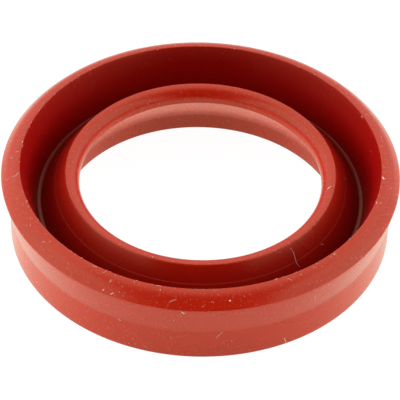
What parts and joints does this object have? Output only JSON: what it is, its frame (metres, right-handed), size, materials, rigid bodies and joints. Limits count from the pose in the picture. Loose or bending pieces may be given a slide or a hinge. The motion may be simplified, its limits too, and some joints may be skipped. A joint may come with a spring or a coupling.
{
  "type": "lip seal",
  "caption": "Moulded silicone lip seal ring for a coffee maker valve, with an outer and an inner sealing lip and an open V channel between them.",
  "frame": {"origin": "centre of the flat base, on the ring's axis", "axes": "+Z along the ring's axis, from the base towards the open side of the V channel; X and Y across the ring"},
  "size_m": [0.04, 0.04, 0.0082],
  "materials": {
    "silicone": "satin red silicone, moulded, with dust and lint on it"
  },
  "bodies": {
    "root": {"lip_seal": "silicone"}
  },
  "joints": []
}
